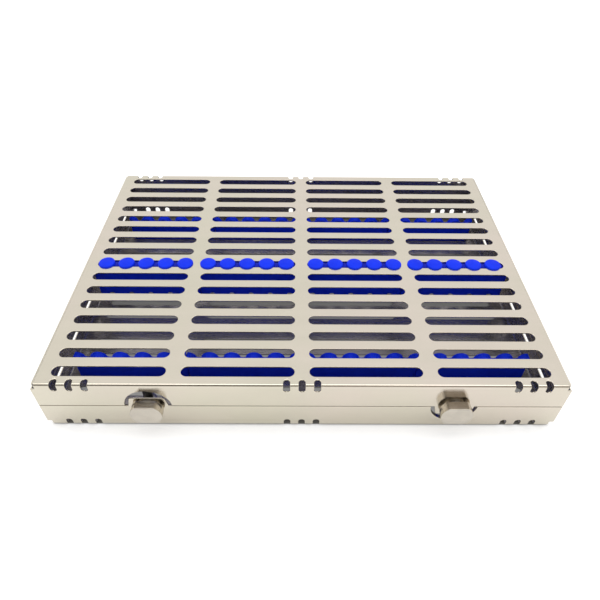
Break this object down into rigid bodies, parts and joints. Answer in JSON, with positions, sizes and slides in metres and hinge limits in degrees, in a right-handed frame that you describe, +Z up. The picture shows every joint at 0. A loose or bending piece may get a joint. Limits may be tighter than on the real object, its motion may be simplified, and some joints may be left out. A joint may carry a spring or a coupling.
{
  "type": "dental instrument cassette",
  "caption": "Flat hinged sterilization cassette: two slotted sheet-steel halves, silicone instrument racks through the slots, thumb-turn latches in front.",
  "frame": {"origin": "middle of the footprint, knobs and hinges included, on the surface that the silicone feet stand on", "axes": "+X to the right along the long side, +Y from the latches at the front to the hinges at the back, +Z up"},
  "size_m": [0.28, 0.2192, 0.038],
  "materials": {
    "sheet_steel": "satin, lightly brushed stainless sheet",
    "silicone": "matt royal-blue silicone",
    "knob_steel": "polished stainless with softened edges",
    "fitting_steel": "plain stainless fittings",
    "spring_steel": "spring steel"
  },
  "bodies": {
    "base": {"base_shell": "sheet_steel", "front_rack_1": "silicone", "front_rack_2": "silicone", "front_rack_3": "silicone", "front_rack_4": "silicone", "rear_rack_1": "silicone", "rear_rack_2": "silicone", "rear_rack_3": "silicone", "rear_rack_4": "silicone", "hinge_leaf_base_left": "fitting_steel", "hinge_leaf_base_right": "fitting_steel", "hinge_pin_left": "fitting_steel", "hinge_pin_right": "fitting_steel", "hinge_rivets_base": "fitting_steel"},
    "lid": {"lid_shell": "sheet_steel", "lid_strip_1": "silicone", "lid_strip_2": "silicone", "lid_strip_3": "silicone", "lid_strip_4": "silicone", "hinge_leaf_lid_left": "fitting_steel", "hinge_leaf_lid_right": "fitting_steel", "hinge_rivets_lid": "fitting_steel"},
    "latch_left": {"latch_knob_left": "knob_steel", "latch_axle_left": "fitting_steel", "latch_washer_left": "fitting_steel", "latch_spring_left": "spring_steel", "latch_cam_left": "fitting_steel", "latch_nut_left": "fitting_steel"},
    "latch_right": {"latch_knob_right": "knob_steel", "latch_axle_right": "fitting_steel", "latch_washer_right": "fitting_steel", "latch_spring_right": "spring_steel", "latch_cam_right": "fitting_steel", "latch_nut_right": "fitting_steel"}
  },
  "joints": [
    {"name": "lid_hinge", "type": "hinge", "parent": "base", "child": "lid", "pos_m": [0, 0.1074, 0.019], "axis": [-1, 0, 0], "range_deg": [0, 180]},
    {"name": "latch_left_turn", "type": "hinge", "parent": "base", "child": "latch_left", "pos_m": [-0.0818, -0.1031, 0.019], "axis": [0, 1, 0], "range_deg": [0, 180]},
    {"name": "latch_right_turn", "type": "hinge", "parent": "lid", "child": "latch_right", "pos_m": [0.0818, -0.1031, 0.019], "axis": [0, 1, 0], "range_deg": [0, 180]}
  ]
}
